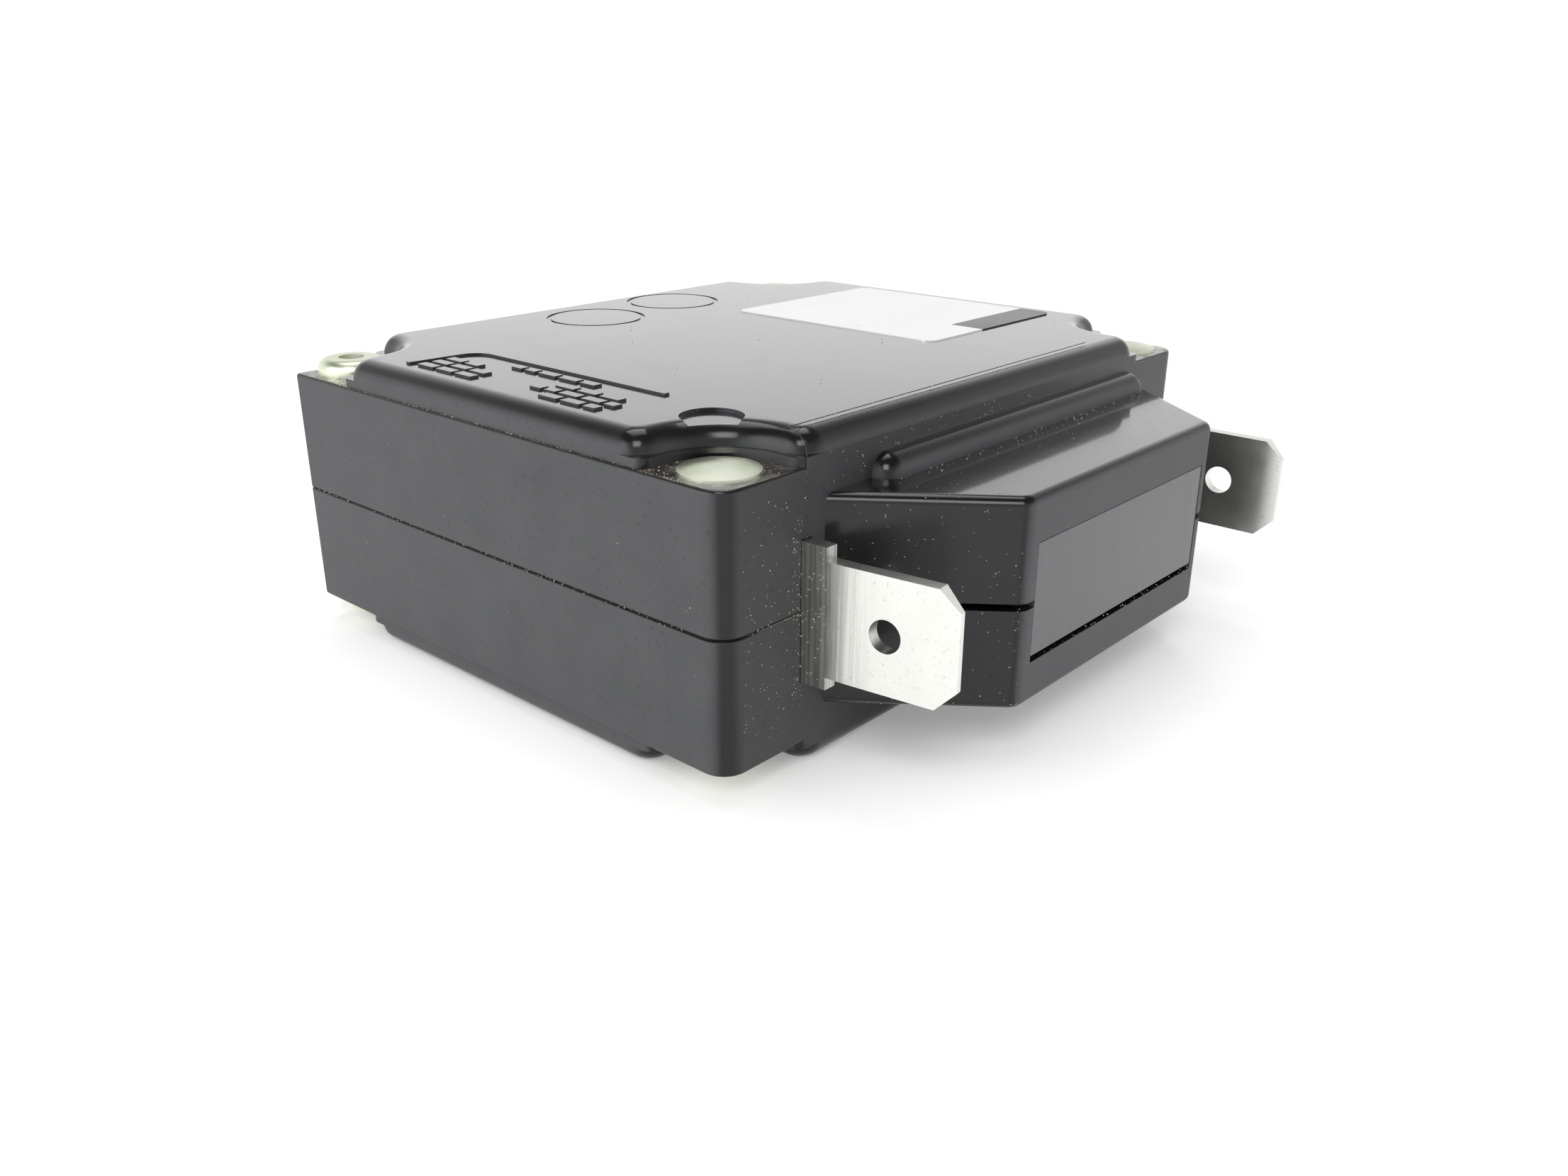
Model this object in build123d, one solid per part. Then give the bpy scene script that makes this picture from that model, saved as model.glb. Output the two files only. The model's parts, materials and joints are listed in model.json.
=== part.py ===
"""A single-pole, hydraulic-magnetic circuit breaker with quick-connect tabs, lying on its side.

X runs along the case from the load side (+X) to the line side (-X), Y from the panel face (0) to
the rear, and Z through the thickness. The two case halves part at Z = 0. Millimetres.
The mechanism is drawn at the switched-off rest pose: the handle leans to +X, contacts open.
"""
import math
import os

from build123d import *

os.makedirs("parts", exist_ok=True)

# ---- Driving dimensions -------------------------------------------------------------------
# Case
CASE_X = 23.05            # half length along X
CASE_Y = 38.15            # depth from the panel face to the rear wall
LAND_Z = 7.6              # half thickness at the corner lands
FIELD_Z = 9.3             # half thickness at the raised field, for a 19.05 mm pole pitch
LEDGE = 0.2               # the field stands this far in from the end walls
WALL_END = 2.0
WALL_FRONT = 2.2
WALL_REAR = 1.8
CAVITY_Z = 7.6
REAR_CORNER_R = 1.5       # upright rear corners of the case
FRONT_CORNER_R = 0.3
FIELD_EDGE_R = 1.25       # rounding round the raised field
LAND_EDGE_R = 0.2
SEAM_CHAMFER = 0.08

# Rivets
RIVET_X = 20.35
RIVET_FRONT_Y = 2.45
RIVET_REAR_Y = 35.4
RIVET_R = 1.1
RIVET_HEAD_R = 2.12
RIVET_HEAD_H = 0.46
RIVET_DOME_R = 7.5        # the rear heads are this sphere's cap
PROUD_HEAD_H = 1.0
PROUD_HEAD_ROLL_R = 0.7
TUBE_RIVET_R, TUBE_RIVET_DEPTH = 0.8, 2.0
SCALLOP_OFFSET = 1.14     # the scallop's centre lies this far past the rivet, each way
SCALLOP_R = 4.3
SCALLOP_STEP_R = 4.02
SCALLOP_STEP_Z = 8.1
SCALLOP_CORNER_R = 1.6
STEP_CORNER_R = 0.8
SCALLOP_ROOF_REACH = 1.4  # the lower roof reaches this far past the scallop
SCALLOP_ROOF_Z = 6.0      # the hollow's height under a scallop
PILLAR_REACH = 2.9        # how far a corner pillar reaches past its rivet

# Marks on the fields: plain raised dashes under a bent rule, a sunk disc, ejector rings and dimples
MARK_H = 0.13
RULE_POINTS = [(21.0, 10.0), (16.1, 10.4), (16.1, 27.3)]
RULE_BEND, RULE_WIDTH = 1.6, 0.36
DASH_HALF, DASH_GAP = 0.3, 0.35
LONG_DASH, SHORT_DASH = 1.5, 0.9
# x of each row of dashes, and where it starts and ends along Y
DASH_ROWS = [
    (20.6, 10.9, 16.2),
    (19.6, 10.9, 16.0),
    (18.6, 10.9, 14.0),
    (17.3, 15.6, 23.0),
    (18.7, 21.4, 26.6),
    (19.7, 20.4, 27.4),
    (20.7, 22.4, 27.0),
]
DISC_PLACE, DISC_R, DISC_DEPTH = (17.6, 32.2), 1.7, 0.22
RING_PLACES = [(2.9, 6.0), (-5.7, 4.9)]
RING_R, RING_WIDTH, RING_DEPTH = 3.5, 0.3, 0.07
DIMPLE_PLACES = [(-14.0, 9.0), (14.0, 9.0), (0.0, 31.0)]
DIMPLE_R, DIMPLE_DEPTH = 2.2, 0.2
LABEL_PLACE, LABEL_SIZE = (-13.2, 20.5), (15.0, 17.5)
LABEL_CORNER_R, LABEL_T = 0.8, 0.08

# Rear block
BLOCK_X = -1.1            # middle of the block along X
BLOCK_ROOT = 16.7         # half width at the rear wall
BLOCK_TIP = 10.35         # half width at the rear face
BLOCK_OUT = 8.2           # how far it stands out
BLOCK_Z = 5.93
BLOCK_WALL = 1.5
BLOCK_CORNER_R = 1.0
BLOCK_EDGE_R = 0.55
VENT_GAP = 0.4            # slit between the halves along the block's sides
VENT_START = 1.2          # from the rear wall to where the slit begins
RIB_LOW_X, RIB_HIGH_X = -15.4, 10.6   # between the centres of the rib's round ends
RIB_R = 1.25

# Blanking plate in the rear window
WINDOW_LOW_X, WINDOW_HIGH_X = -10.6, 8.26
WINDOW_LOW_Z, WINDOW_HIGH_Z = -3.35, 3.3
PLATE_GAP = 0.06
PLATE_FOOT_GAP = 0.3      # the wider gap along the plate's lower edge
PLATE_FLANGE = 0.8

# Panel bushing and handle opening
BUSHING_X, BUSHING_Z, BUSHING_OUT = 8.6, 5.0, 3.2
OPENING_X, OPENING_Z = 6.5, 3.35

# Panel mounting inserts (6-32 thread, drawn at its tapping bore)
INSERT_X = 14.3
INSERT_R = 2.6
INSERT_BORE_R = 1.4
INSERT_DEPTH = 5.6
PAD_DEPTH = 6.4           # the housing round each insert
PAD_HALF = 3.6

# Handle
HANDLE_PIVOT = (0.0, 6.8)
HANDLE_SWING = 38.0
BARREL_R = 6.2
CHEEK_INNER_Z, CHEEK_OUTER_Z = 2.3, 3.1
PIN_R = 1.2
PIN_BOSS_R = 2.6
HANDLE_PIN_Z = 6.9        # half length of the handle pin
CRANK = 3.0
CRANK_PIN_R = 0.7
BARREL_WALL = 1.4
CRANK_EYE_R = 2.0
LEVER_LENGTH = 18.6
LEVER_ROOT_X, LEVER_TIP_X = 2.6, 1.7
LEVER_ROOT_Y = 5.6        # the lever starts this far in front of the pivot
LEVER_Z, LEVER_TIP_R = 2.6, 1.2

# Links and contact arm
ARM_PIVOT = (5.0, 16.0)
ARM_CRANK = 8.0
ARM_PIN_R = 1.0
ARM_Z = 1.25
LINK_INNER_Z, LINK_OUTER_Z = 1.4, 2.2
LINK_PIN_R = 0.7
LINK_HALF_WIDTH = 1.3
RUNNING = 0.05            # radial clearance of a running fit
OPEN_PIVOT = 0.3          # radial clearance where the linkage is opened

# Contacts
CONTACT_X = -12.9
CONTACT_FACE_Y = 18.8
CONTACT_R = 1.7
CONTACT_T = 1.0
CONTACT_GAP = 0.06

# Terminals
TAB_T = 0.8
TAB_Z = 3.175             # half width of the 6.35 mm blade
SHOULDER_Z = 3.9
SHOULDER_OUT = 1.6        # how far the shoulder stands out of the rear wall
LINE_TAB_Z = 0.3          # the line blade sits a little high in its slot
LOAD_TAB_OUT = 8.95       # how far each tab's tip stands out of the rear wall
LINE_TAB_OUT = 10.2
TAB_CHAMFER = 1.1
TAB_HOLE_R = 0.9
TAB_HOLE_BACK = 3.95      # from the tip to the hole
TAB_BEVEL, TAB_BEVEL_T = 1.1, 0.22
LOAD_TAB_X = 17.0         # middle of the sheet at the rear wall
LINE_TAB_X = -18.6
LOAD_TAB_LEAN = 0.96      # how far the load blade leans in at its tip
LOAD_BEND_R = 23.0        # radius of the gentle bend at its root
FOOT_Y = 20.2             # middle of the line terminal's contact foot

# Magnet
COIL_Y = 28.2
COIL_LOW_X, COIL_HIGH_X = -7.3, 9.1
FLANGE_T = 0.8
FLANGE_R = 6.6
BOBBIN_BORE_R, BOBBIN_R = 2.5, 3.2
WIRE_R = 0.55
WINDING_ROOT_R, WINDING_R = 5.6, 6.15
LEAD_ROUTE, LEAD_BEND = [(7.2, 33.2, 5.2), (13.6, 34.2, 5.6), (16.0, 32.4, 2.2), (16.0, 31.0, 0.4)], 0.9
BRAID_ROUTE, BRAID_BEND = [(1.2, 18.9, 0.9), (0.6, 18.9, 6.2), (-3.0, 22.6, 6.6), (-5.4, 25.0, 6.3)], 1.3
BRAID_R = 0.6
TUBE_R, TUBE_WALL = 2.4, 0.4
TUBE_LOW_X = -12.4
POLE_R, POLE_T = 4.2, 1.0
SADDLE_X = (0.5, 6.6)     # ribs in the case that hold the coil
SADDLE_T, SADDLE_HALF, SADDLE_Z = 1.2, 5.0, 5.0
YOKE_T = 1.2
YOKE_Z = 5.0
YOKE_LOW_X = -8.6
YOKE_FRONT_Y = 20.2
EAR_INNER_Z, EAR_OUTER_Z = 3.4, 4.6
EAR_OUTLINE = [
    (2.6, 20.8), (2.6, 14.0), (5.0, 12.6), (11.6, 10.6),
    (15.2, 10.6), (15.2, 14.4), (13.8, 22.4), (10.2, 22.4),
]
PLUNGER_R, PLUNGER_LENGTH = 1.9, 6.0

# Armature and trip lever
ARMATURE_PIVOT = (11.9, 20.8)
ARMATURE_SWING = 9.0
ARMATURE_Z = 3.0
LEVER_PIVOT = (13.6, 12.6)
SMALL_PIN_R = 0.6

# Arc chute
CHUTE_LOW_X, CHUTE_HIGH_X = -20.8, -14.9
CHUTE_FIRST_Y, CHUTE_PITCH, CHUTE_COUNT = 7.2, 2.1, 5
CHUTE_PLATE_T = 0.7
CHUTE_Z = 5.3
NOTCH_MOUTH, NOTCH_DEEP = 2.6, 2.6
SHEET_T = 0.5

# ---- Worked-out values --------------------------------------------------------------------
REAR_Y = CASE_Y + BLOCK_OUT
BLOCK_SLOPE = (BLOCK_ROOT - BLOCK_TIP) / BLOCK_OUT
HALF_SWING = math.radians(HANDLE_SWING / 2)
LINK_TRAVEL = 2 * CRANK * math.sin(HALF_SWING)
ARM_SWING = math.degrees(2 * math.asin(LINK_TRAVEL / 2 / ARM_CRANK))
HX, HY = HANDLE_PIVOT
PX, PY = ARM_PIVOT
# crank pin and link pin at mid stroke, where both cranks stand square to the links
CRANK_MID = (HX - CRANK, HY)
LINK_X = HX - CRANK


def save(name, shape):
    """Write one node."""
    if isinstance(shape, (list, tuple, ShapeList)):
        shape = Compound(children=list(shape))
    export_step(shape, f"parts/{name}.step")


def block(low, high):
    """A box between two corners."""
    size = [b - a for a, b in zip(low, high)]
    middle = [(a + b) / 2 for a, b in zip(low, high)]
    return Pos(*middle) * Box(*size)


def rod(radius, start, end):
    """A round rod from one point to another."""
    line = Vector(*end) - Vector(*start)
    plane = Plane(origin=start, z_dir=line)
    return extrude(plane * Circle(radius), amount=line.length)


def plate(outline, low_z, high_z):
    """A sketch in XY made solid between two heights."""
    return extrude(Pos(0, 0, low_z) * outline, amount=high_z - low_z)


def capsule(start, end, radius):
    """A flat link outline in XY with round ends."""
    (x0, y0), (x1, y1) = start, end
    length = math.hypot(x1 - x0, y1 - y0)
    turn = math.degrees(math.atan2(y1 - y0, x1 - x0))
    middle = Pos((x0 + x1) / 2, (y0 + y1) / 2) * Rot(0, 0, turn)
    return middle * SlotCenterToCenter(length, 2 * radius)


def turned_point(point, pivot, degrees):
    """Turn a point in plan about an upright axis."""
    x, y = point[0] - pivot[0], point[1] - pivot[1]
    c, s = math.cos(math.radians(degrees)), math.sin(math.radians(degrees))
    return (pivot[0] + x * c - y * s, pivot[1] + x * s + y * c)


def turned(shape, pivot, degrees):
    """Turn a shape about an upright axis."""
    return Pos(*pivot) * Rot(0, 0, degrees) * Pos(-pivot[0], -pivot[1]) * shape


def wire(points, bend, radius):
    """A round wire along straight runs joined by bends."""
    path = FilletPolyline(*points, radius=bend)
    section = Plane(origin=path @ 0, z_dir=path % 0) * Circle(radius)
    return sweep(section, path=path)


def coil_spring(radius, wire_radius, pitch, turns, start, direction):
    """A helical spring whose axis starts at a point."""
    path = Helix(pitch=pitch, height=pitch * turns, radius=radius)
    section = Plane(origin=path @ 0, z_dir=path % 0) * Circle(wire_radius)
    spring = sweep(section, path=path, is_frenet=True)
    return Plane(origin=start, z_dir=direction).location * spring


# ---- Case ---------------------------------------------------------------------------------
def corner_points():
    """Where the four rivets stand."""
    return [(sx * RIVET_X, y) for sx in (-1, 1) for y in (RIVET_FRONT_Y, RIVET_REAR_Y)]


def case_outline():
    """The outline of the lands."""
    outline = Pos(0, CASE_Y / 2) * Rectangle(2 * CASE_X, CASE_Y)
    outline = fillet(outline.vertices().group_by(Axis.Y)[0], FRONT_CORNER_R)
    return fillet(outline.vertices().group_by(Axis.Y)[-1], REAR_CORNER_R)


def raised_field(height, scallop_r, corner_r):
    """A raised field: a rectangle bitten away round each rivet, with its upright edges rounded."""
    outline = Pos(0, CASE_Y / 2) * Rectangle(2 * (CASE_X - LEDGE), CASE_Y)
    solid = plate(outline, LAND_Z / 2, height)
    for x, y in corner_points():
        centre_x = x + math.copysign(SCALLOP_OFFSET, x)
        centre_y = y + math.copysign(SCALLOP_OFFSET, y - CASE_Y / 2)
        solid -= rod(scallop_r, (centre_x, centre_y, -1), (centre_x, centre_y, height + 1))
    return fillet(on_rim(solid.edges().filter_by(Axis.Z)), corner_r)


def on_rim(edges):
    """The upright edges that lie on the field's outer sides."""
    rim = []
    for edge in edges:
        x, y = edge.center().X, edge.center().Y
        at_side = abs(abs(x) - (CASE_X - LEDGE)) < 0.01
        at_end = min(abs(y), abs(y - CASE_Y)) < 0.01
        if at_side or at_end:
            rim.append(edge)
    return rim


def corner_box(x, y, reach, high_z):
    """The box from just inside a rivet out past its corner of the case."""
    xs = sorted((x - math.copysign(reach, x), math.copysign(CASE_X + 5, x)))
    ys = (-5, y + reach) if y < CASE_Y / 2 else (y - reach, CASE_Y + 5)
    return (xs[0], ys[0], -1), (xs[1], ys[1], high_z)


def block_outline(inset, low_y, high_y):
    """The rear block's tapered outline in plan, drawn in by an inset."""
    side = inset * math.hypot(1, BLOCK_SLOPE)

    def half(y):
        return BLOCK_ROOT - BLOCK_SLOPE * (y - CASE_Y) - side

    corners = [(-half(low_y), low_y), (half(low_y), low_y), (half(high_y), high_y), (-half(high_y), high_y)]
    return make_face(Polyline(*[(BLOCK_X + x, y) for x, y in corners], close=True))


def rear_block():
    """The upper half of the rear block, with rounded edges."""
    solid = plate(block_outline(0, CASE_Y - 1, REAR_Y), 0, BLOCK_Z)
    upright = solid.edges().filter_by(Axis.Z).group_by(Axis.Y)[-1]
    solid = fillet(upright, BLOCK_CORNER_R)
    rim = solid.faces().sort_by(Axis.Z)[-1].edges()
    rim = [edge for edge in rim if edge.center().Y > CASE_Y]
    return fillet(rim, BLOCK_EDGE_R)


def half_outside():
    """The outside of the upper half shell."""
    solid = plate(case_outline(), 0, LAND_Z)
    solid = fillet(solid.faces().sort_by(Axis.Z)[-1].edges(), LAND_EDGE_R)
    solid = chamfer(solid.faces().sort_by(Axis.Z)[0].edges(), SEAM_CHAMFER)
    solid += raised_field(SCALLOP_STEP_Z, SCALLOP_STEP_R, STEP_CORNER_R)
    field = raised_field(FIELD_Z, SCALLOP_R, SCALLOP_CORNER_R)
    solid += fillet(field.faces().sort_by(Axis.Z)[-1].edges(), FIELD_EDGE_R)
    solid += rear_block()
    rib = rod(RIB_R, (RIB_LOW_X, CASE_Y, BLOCK_Z), (RIB_HIGH_X, CASE_Y, BLOCK_Z))
    for x in (RIB_LOW_X, RIB_HIGH_X):
        rib += Pos(x, CASE_Y, BLOCK_Z) * Sphere(RIB_R)
    solid += rib & block((-CASE_X, CASE_Y - 0.5, 1), (CASE_X, CASE_Y + 2, 8))
    solid += block((-BUSHING_X, -BUSHING_OUT, 0), (BUSHING_X, 0.5, BUSHING_Z))
    return solid


def half_hollow():
    """What is taken out of the upper half shell."""
    low_x, high_x = -CASE_X + WALL_END, CASE_X - WALL_END
    hollow = block((low_x, WALL_FRONT, -1), (high_x, CASE_Y - WALL_REAR, CAVITY_Z))
    for x, y in corner_points():
        # a pillar fills each corner, and the roof is lower under the scallop
        hollow -= block(*corner_box(x, y, PILLAR_REACH, CAVITY_Z + 1))
        low, high = corner_box(x, y, SCALLOP_R + SCALLOP_ROOF_REACH, CAVITY_Z + 1)
        hollow -= block((*low[:2], SCALLOP_ROOF_Z), high)
    return hollow


def field_marks():
    """Plain raised marks on the upper field: a bent rule and rows of dashes."""
    marks = []
    top = FIELD_Z - 0.1
    rule = FilletPolyline(*RULE_POINTS, radius=RULE_BEND)
    marks.append(plate(trace(rule, RULE_WIDTH), top, FIELD_Z + MARK_H))
    for x, low_y, high_y in DASH_ROWS:
        y = low_y
        while y < high_y - DASH_GAP:
            # the tenths of the place pick a long or a short dash, so the rows look uneven
            length = LONG_DASH if int(y * 10) % 3 else SHORT_DASH
            end = min(y + length, high_y)
            marks.append(block((x - DASH_HALF, y, top), (x + DASH_HALF, end, FIELD_Z + MARK_H)))
            y = end + DASH_GAP
    return marks


def upper_half():
    """The upper shell: outside, hollow, bosses, ribs, rivet holes and slots."""
    solid = half_outside() - half_hollow()
    block_hollow = block_outline(BLOCK_WALL, CASE_Y - WALL_REAR - 0.5, REAR_Y - BLOCK_WALL)
    solid -= plate(block_hollow, -1, BLOCK_Z - BLOCK_WALL)
    # bosses for the handle pin, and saddle ribs that hold the coil
    solid += rod(PIN_BOSS_R, (HX, HY, CHEEK_OUTER_Z + 0.2), (HX, HY, CAVITY_Z + 0.5))
    solid -= rod(PIN_R + 0.02, (HX, HY, 0), (HX, HY, HANDLE_PIN_Z + 0.1))
    for x in SADDLE_X:
        low_x, high_x = x - SADDLE_T / 2, x + SADDLE_T / 2
        saddle = block((low_x, COIL_Y - SADDLE_HALF, SADDLE_Z), (high_x, COIL_Y + SADDLE_HALF, CAVITY_Z + 0.5))
        solid += saddle - rod(FLANGE_R + 0.1, (x - 1, COIL_Y, 0), (x + 1, COIL_Y, 0))
    for x, y in corner_points():
        solid -= rod(RIVET_R + 0.03, (x, y, -1), (x, y, 12))
    solid -= block((-OPENING_X, -BUSHING_OUT - 1, -1), (OPENING_X, WALL_FRONT + 1, OPENING_Z))
    solid += insert_housings()
    # window for the blanking plate
    window_low_x, window_high_x = WINDOW_LOW_X - PLATE_GAP, WINDOW_HIGH_X + PLATE_GAP
    solid -= block((window_low_x, REAR_Y - 3, -1), (window_high_x, REAR_Y + 1, WINDOW_HIGH_Z + PLATE_GAP))
    return solid


def insert_housings():
    """The pads round the two panel inserts, each with half of the insert's bore."""
    pads = []
    for sx in (-1, 1):
        x = sx * INSERT_X
        pad = block((x - PAD_HALF, 0.5, 0), (x + PAD_HALF, PAD_DEPTH, CAVITY_Z + 0.5))
        pad -= rod(INSERT_BORE_R + 0.3, (x, INSERT_DEPTH - 1, 0), (x, INSERT_DEPTH + 2, 0))
        pads.append(pad)
    return pads


def shared_cuts(solid):
    """Cuts that both halves share: terminal slots, insert bores and the vent slit."""
    for x in (LOAD_TAB_X, LINE_TAB_X):
        gap = TAB_T / 2 + 0.04
        solid -= block((x - gap, CASE_Y - 8, -SHOULDER_Z - 0.05), (x + gap, CASE_Y + 1, SHOULDER_Z + 0.05))
    for sx in (-1, 1):
        x = sx * INSERT_X
        solid -= rod(INSERT_R, (x, -1, 0), (x, INSERT_DEPTH, 0))
    slit = block((-CASE_X, CASE_Y + VENT_START, -VENT_GAP / 2), (CASE_X, REAR_Y + 1, VENT_GAP / 2))
    middle = block((WINDOW_LOW_X + 0.5, CASE_Y - 3, -1), (WINDOW_HIGH_X - 0.5, REAR_Y + 2, 1))
    solid -= slit - middle
    return solid


def case_half(sign):
    """One whole shell; sign is +1 for the upper and -1 for the lower."""
    solid = upper_half()
    if sign > 0:
        solid -= rod(DISC_R, (*DISC_PLACE, FIELD_Z - DISC_DEPTH), (*DISC_PLACE, FIELD_Z + 1))
        for x, y in RING_PLACES:
            ring = rod(RING_R, (x, y, FIELD_Z - RING_DEPTH), (x, y, FIELD_Z + 1))
            solid -= ring - rod(RING_R - RING_WIDTH, (x, y, 0), (x, y, FIELD_Z + 1))
        solid += field_marks()
    else:
        for x, y in DIMPLE_PLACES:
            solid -= rod(DIMPLE_R, (x, y, FIELD_Z - DIMPLE_DEPTH), (x, y, FIELD_Z + 1))
    solid = shared_cuts(solid)
    if sign < 0:
        solid = mirror(solid, about=Plane.XY)
        # the plate's wider gap is along its lower edge
        low = WINDOW_LOW_Z - PLATE_GAP
        solid -= block((WINDOW_LOW_X - PLATE_GAP, REAR_Y - 3, low), (WINDOW_HIGH_X + PLATE_GAP, REAR_Y + 1, 1))
    return solid


def blanking_plate():
    """The plate that closes the block's rear window, held by a flange behind the wall."""
    low_z = WINDOW_LOW_Z + PLATE_FOOT_GAP
    back_y = REAR_Y - BLOCK_WALL - 0.05
    face = block((WINDOW_LOW_X, back_y - 0.05, low_z), (WINDOW_HIGH_X, REAR_Y - 0.03, WINDOW_HIGH_Z))
    flange = block(
        (WINDOW_LOW_X + 0.6, back_y - 0.9, WINDOW_LOW_Z - PLATE_FLANGE),
        (WINDOW_HIGH_X - 0.6, back_y, WINDOW_HIGH_Z + PLATE_FLANGE),
    )
    return face + flange


def domed_rivet(x, y):
    """A solid rivet through both lands, with a low domed head at each end."""
    solid = rod(RIVET_R, (x, y, -LAND_Z), (x, y, LAND_Z))
    for sz in (-1, 1):
        head = rod(RIVET_HEAD_R, (x, y, sz * LAND_Z), (x, y, sz * (LAND_Z + RIVET_HEAD_H)))
        centre_z = sz * (LAND_Z + RIVET_HEAD_H - RIVET_DOME_R)
        solid += head & Pos(x, y, centre_z) * Sphere(RIVET_DOME_R)
    return solid


def tubular_rivet(x, y):
    """A rivet through both lands, with a proud rolled head and an open mouth at each end."""
    solid = rod(RIVET_R, (x, y, -LAND_Z), (x, y, LAND_Z))
    for sz in (-1, 1):
        head = rod(RIVET_HEAD_R, (x, y, sz * LAND_Z), (x, y, sz * (LAND_Z + PROUD_HEAD_H)))
        rim = head.faces().sort_by(Axis.Z)[-1 if sz > 0 else 0].edges()
        solid += fillet(rim, PROUD_HEAD_ROLL_R)
        mouth_z, end_z = sz * (LAND_Z + PROUD_HEAD_H), sz * (LAND_Z - TUBE_RIVET_DEPTH)
        solid -= rod(TUBE_RIVET_R, (x, y, mouth_z), (x, y, end_z))
    return solid


def case_nodes():
    """Shells, plate, rivets, inserts and label."""
    save("upper_case_half", case_half(1))
    save("lower_case_half", case_half(-1))
    save("rear_blanking_plate", blanking_plate())
    save("rear_rivets", [domed_rivet(sx * RIVET_X, RIVET_REAR_Y) for sx in (-1, 1)])
    save("front_rivets", [tubular_rivet(sx * RIVET_X, RIVET_FRONT_Y) for sx in (-1, 1)])
    inserts = []
    for sx in (-1, 1):
        x = sx * INSERT_X
        insert = rod(INSERT_R, (x, 0, 0), (x, INSERT_DEPTH, 0))
        inserts.append(insert - rod(INSERT_BORE_R, (x, -1, 0), (x, INSERT_DEPTH + 1, 0)))
    save("panel_inserts", inserts)
    label = Pos(*LABEL_PLACE) * RectangleRounded(*LABEL_SIZE, LABEL_CORNER_R)
    save("side_label", plate(label, FIELD_Z, FIELD_Z + LABEL_T))


# ---- Terminals and contacts -----------------------------------------------------------------
def terminal_root(path):
    """The part of a terminal inside the case, and its wide shoulder."""
    shoulder = CASE_Y + SHOULDER_OUT
    strip = plate(trace(path, TAB_T), -TAB_Z, TAB_Z)
    x = (path @ 1).X
    wide = block((x - TAB_T / 2, CASE_Y - 6, -SHOULDER_Z), (x + TAB_T / 2, shoulder, SHOULDER_Z))
    return strip + wide


def blade(length):
    """A quick-connect blade along +Y from the origin: cut corners, bevelled tip and a hole."""
    corner = TAB_Z - TAB_CHAMFER
    right = [(0, TAB_Z), (length - TAB_CHAMFER, TAB_Z), (length, corner)]
    left = [(y, -z) for y, z in reversed(right)]
    outline = make_face(Plane.YZ * Polyline(*right, *left, close=True))
    solid = extrude(outline, amount=TAB_T / 2, both=True)
    for sx in (-1, 1):
        face_x, tip_x = sx * TAB_T / 2, sx * (TAB_T / 2 - TAB_BEVEL_T)
        wedge = make_face(Polyline(
            (face_x, length - TAB_BEVEL), (tip_x, length + 0.01),
            (face_x + sx, length + 0.01), (face_x + sx, length - TAB_BEVEL), close=True))
        solid -= plate(wedge, -TAB_Z - 1, TAB_Z + 1)
    hole_y = length - TAB_HOLE_BACK
    return solid - rod(TAB_HOLE_R, (-2, hole_y, 0), (2, hole_y, 0))


def load_terminal(shoulder):
    """The load terminal: a straight root, a gentle bend and the leaning blade, all one sheet."""
    length = CASE_Y + LOAD_TAB_OUT - shoulder
    lean = math.atan2(LOAD_TAB_LEAN, length)
    bend = LOAD_BEND_R * math.tan(lean / 2)
    run = bend + 0.5
    end = (LOAD_TAB_X - run * math.sin(lean), shoulder + run * math.cos(lean))
    sheet = trace(FilletPolyline((LOAD_TAB_X, 29.0), (LOAD_TAB_X, shoulder), end, radius=LOAD_BEND_R), TAB_T)
    wide = block((LOAD_TAB_X - 2, CASE_Y - 6, -SHOULDER_Z), (LOAD_TAB_X + 2, shoulder, SHOULDER_Z))
    straight = blade(length) & block((-2, bend, -TAB_Z), (2, length + 1, TAB_Z))
    solid = plate(sheet, -TAB_Z, TAB_Z) + (plate(sheet, -SHOULDER_Z, SHOULDER_Z) & wide)
    return solid + Pos(LOAD_TAB_X, shoulder, 0) * Rot(0, 0, math.degrees(lean)) * straight


def terminal_nodes():
    """Line and load terminals and the fixed contact."""
    shoulder = CASE_Y + SHOULDER_OUT
    path = FilletPolyline((-10.6, FOOT_Y), (LINE_TAB_X, FOOT_Y), (LINE_TAB_X, shoulder), radius=1.0)
    line = terminal_root(path)
    line += Pos(LINE_TAB_X, shoulder, LINE_TAB_Z) * blade(CASE_Y + LINE_TAB_OUT - shoulder)
    save("line_terminal", line)
    save("load_terminal", load_terminal(shoulder))
    face_y = FOOT_Y - TAB_T / 2
    save("fixed_contact", rod(CONTACT_R + 0.2, (CONTACT_X, CONTACT_FACE_Y, 0), (CONTACT_X, face_y, 0)))


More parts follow.
